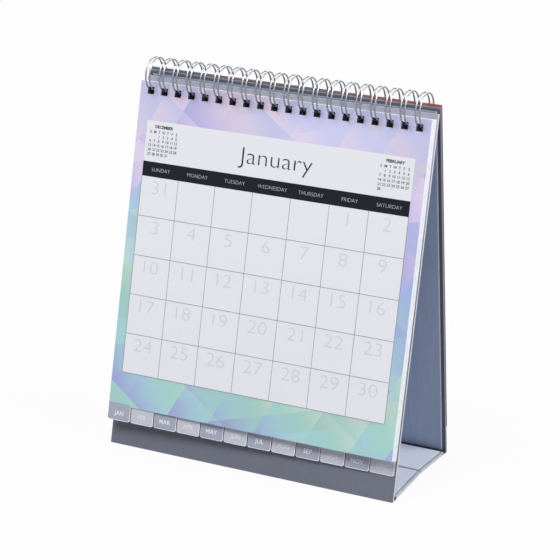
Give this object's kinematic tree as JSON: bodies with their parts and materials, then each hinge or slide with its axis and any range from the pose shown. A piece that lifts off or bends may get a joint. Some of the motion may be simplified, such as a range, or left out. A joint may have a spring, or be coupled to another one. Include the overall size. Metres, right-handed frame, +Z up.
{
  "type": "desk calendar",
  "caption": "Tent desk calendar: a folding board easel with tabbed month leaves and a cover leaf bound along its top edge by a twin-loop wire.",
  "frame": {"origin": "centre of the calendar's box on the table", "axes": "+Z up, +X to the right along the binding, the pages face -Y"},
  "size_m": [0.175, 0.075, 0.2129],
  "materials": {
    "greyboard": "raw pressed board",
    "cover_paper": "matte printed cover paper, grey",
    "liner_paper": "matte liner paper, blue grey",
    "binding_wire": "silver lacquered wire",
    "leaf_card": "smooth uncoated card, printed",
    "cover_card": "smooth card, printed"
  },
  "bodies": {
    "easel": {"front_board": "greyboard", "front_cover_paper": "cover_paper", "front_liner": "liner_paper", "back_board": "greyboard", "back_cover_paper": "cover_paper", "back_liner": "liner_paper", "twin_loop_wire": "binding_wire"},
    "base_front": {"base_front_board": "greyboard", "base_front_cover_paper": "cover_paper", "base_front_liner": "liner_paper"},
    "base_back": {"base_back_board": "greyboard", "base_back_cover_paper": "cover_paper", "base_back_liner": "liner_paper"},
    "leaf_jan": {"leaf_jan": "leaf_card"},
    "leaf_feb": {"leaf_feb": "leaf_card"},
    "leaf_mar": {"leaf_mar": "leaf_card"},
    "leaf_apr": {"leaf_apr": "leaf_card"},
    "leaf_may": {"leaf_may": "leaf_card"},
    "leaf_jun": {"leaf_jun": "leaf_card"},
    "leaf_jul": {"leaf_jul": "leaf_card"},
    "leaf_aug": {"leaf_aug": "leaf_card"},
    "leaf_sep": {"leaf_sep": "leaf_card"},
    "leaf_oct": {"leaf_oct": "leaf_card"},
    "leaf_nov": {"leaf_nov": "leaf_card"},
    "leaf_dec": {"leaf_dec": "leaf_card"},
    "cover_leaf": {"cover_leaf": "cover_card"}
  },
  "joints": [
    {"name": "base_fold", "type": "hinge", "parent": "easel", "child": "base_front", "pos_m": [0, -0.03159, 0.0003], "axis": [1, 0, 0], "range_deg": [0, 70]},
    {"name": "crease_fold", "type": "hinge", "parent": "base_front", "child": "base_back", "pos_m": [0, 0.00075, 0.0018], "axis": [1, 0, 0], "range_deg": [-140, 0]},
    {"name": "turn_jan", "type": "hinge", "parent": "easel", "child": "leaf_jan", "pos_m": [0, 0.01225, 0.2033], "axis": [-1, 0, 0], "range_deg": [0, 195]},
    {"name": "turn_feb", "type": "hinge", "parent": "easel", "child": "leaf_feb", "pos_m": [0, 0.01225, 0.2033], "axis": [-1, 0, 0], "range_deg": [0, 193.05]},
    {"name": "turn_mar", "type": "hinge", "parent": "easel", "child": "leaf_mar", "pos_m": [0, 0.01225, 0.2033], "axis": [-1, 0, 0], "range_deg": [0, 191.1]},
    {"name": "turn_apr", "type": "hinge", "parent": "easel", "child": "leaf_apr", "pos_m": [0, 0.01225, 0.2033], "axis": [-1, 0, 0], "range_deg": [0, 189.15]},
    {"name": "turn_may", "type": "hinge", "parent": "easel", "child": "leaf_may", "pos_m": [0, 0.01225, 0.2033], "axis": [-1, 0, 0], "range_deg": [0, 187.2]},
    {"name": "turn_jun", "type": "hinge", "parent": "easel", "child": "leaf_jun", "pos_m": [0, 0.01225, 0.2033], "axis": [-1, 0, 0], "range_deg": [0, 185.25]},
    {"name": "turn_jul", "type": "hinge", "parent": "easel", "child": "leaf_jul", "pos_m": [0, 0.01225, 0.2033], "axis": [-1, 0, 0], "range_deg": [0, 183.3]},
    {"name": "turn_aug", "type": "hinge", "parent": "easel", "child": "leaf_aug", "pos_m": [0, 0.01225, 0.2033], "axis": [-1, 0, 0], "range_deg": [0, 181.35]},
    {"name": "turn_sep", "type": "hinge", "parent": "easel", "child": "leaf_sep", "pos_m": [0, 0.01225, 0.2033], "axis": [-1, 0, 0], "range_deg": [0, 179.4]},
    {"name": "turn_oct", "type": "hinge", "parent": "easel", "child": "leaf_oct", "pos_m": [0, 0.01225, 0.2033], "axis": [-1, 0, 0], "range_deg": [0, 177.45]},
    {"name": "turn_nov", "type": "hinge", "parent": "easel", "child": "leaf_nov", "pos_m": [0, 0.01225, 0.2033], "axis": [-1, 0, 0], "range_deg": [0, 175.5]},
    {"name": "turn_dec", "type": "hinge", "parent": "easel", "child": "leaf_dec", "pos_m": [0, 0.01225, 0.2033], "axis": [-1, 0, 0], "range_deg": [0, 173.55]},
    {"name": "turn_cover", "type": "hinge", "parent": "easel", "child": "cover_leaf", "pos_m": [0, 0.01225, 0.2033], "axis": [1, 0, 0], "range_deg": [0, 185]}
  ],
  "couplings": [
    {"joint": "crease_fold", "follows": "base_fold", "ratio": -2},
    {"joint": "turn_feb", "follows": "turn_jan", "ratio": 0.99},
    {"joint": "turn_mar", "follows": "turn_jan", "ratio": 0.98},
    {"joint": "turn_apr", "follows": "turn_jan", "ratio": 0.97},
    {"joint": "turn_may", "follows": "turn_jan", "ratio": 0.96},
    {"joint": "turn_jun", "follows": "turn_jan", "ratio": 0.95},
    {"joint": "turn_jul", "follows": "turn_jan", "ratio": 0.94},
    {"joint": "turn_aug", "follows": "turn_jan", "ratio": 0.93},
    {"joint": "turn_sep", "follows": "turn_jan", "ratio": 0.92},
    {"joint": "turn_oct", "follows": "turn_jan", "ratio": 0.91},
    {"joint": "turn_nov", "follows": "turn_jan", "ratio": 0.9},
    {"joint": "turn_dec", "follows": "turn_jan", "ratio": 0.89}
  ]
}
